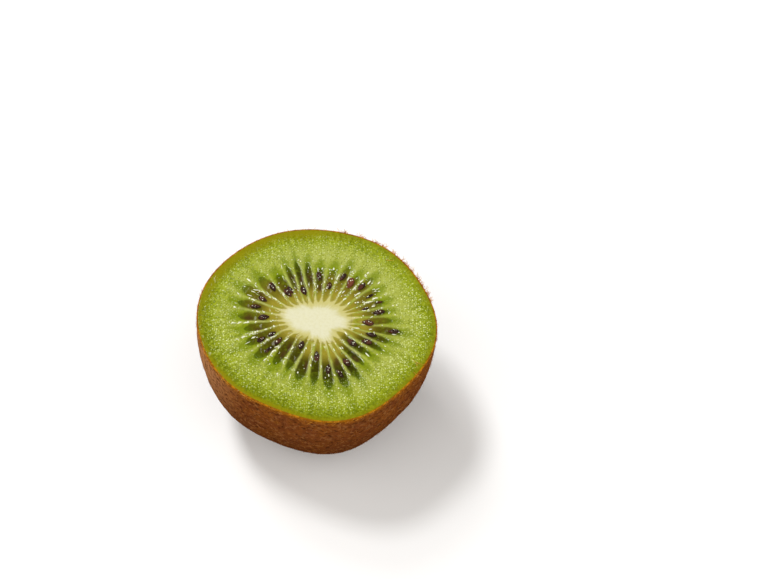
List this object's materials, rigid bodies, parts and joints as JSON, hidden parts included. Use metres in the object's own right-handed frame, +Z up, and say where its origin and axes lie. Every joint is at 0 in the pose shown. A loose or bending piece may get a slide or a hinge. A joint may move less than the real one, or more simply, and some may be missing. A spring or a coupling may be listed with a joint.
{
  "type": "kiwi fruit half",
  "caption": "Half a kiwi fruit cut crosswise, resting on its rounded end with the green cut face, pale core and ring of seeds facing up.",
  "frame": {"origin": "on the resting surface, below the middle of the fruit's box", "axes": "+Z up, square to the cut face; +X along the longer width of the cut face"},
  "size_m": [0.049, 0.0464, 0.0291],
  "materials": {
    "flesh": "moist translucent green fruit flesh under a thin brown hairy skin",
    "core": "soft moist creamy white pith",
    "skin": "thin dull brown peel with dark flecks and short bristly hairs",
    "seeds": "wet glossy purple-black seeds"
  },
  "bodies": {
    "root": {"flesh": "flesh", "core": "core"}
  },
  "joints": []
}
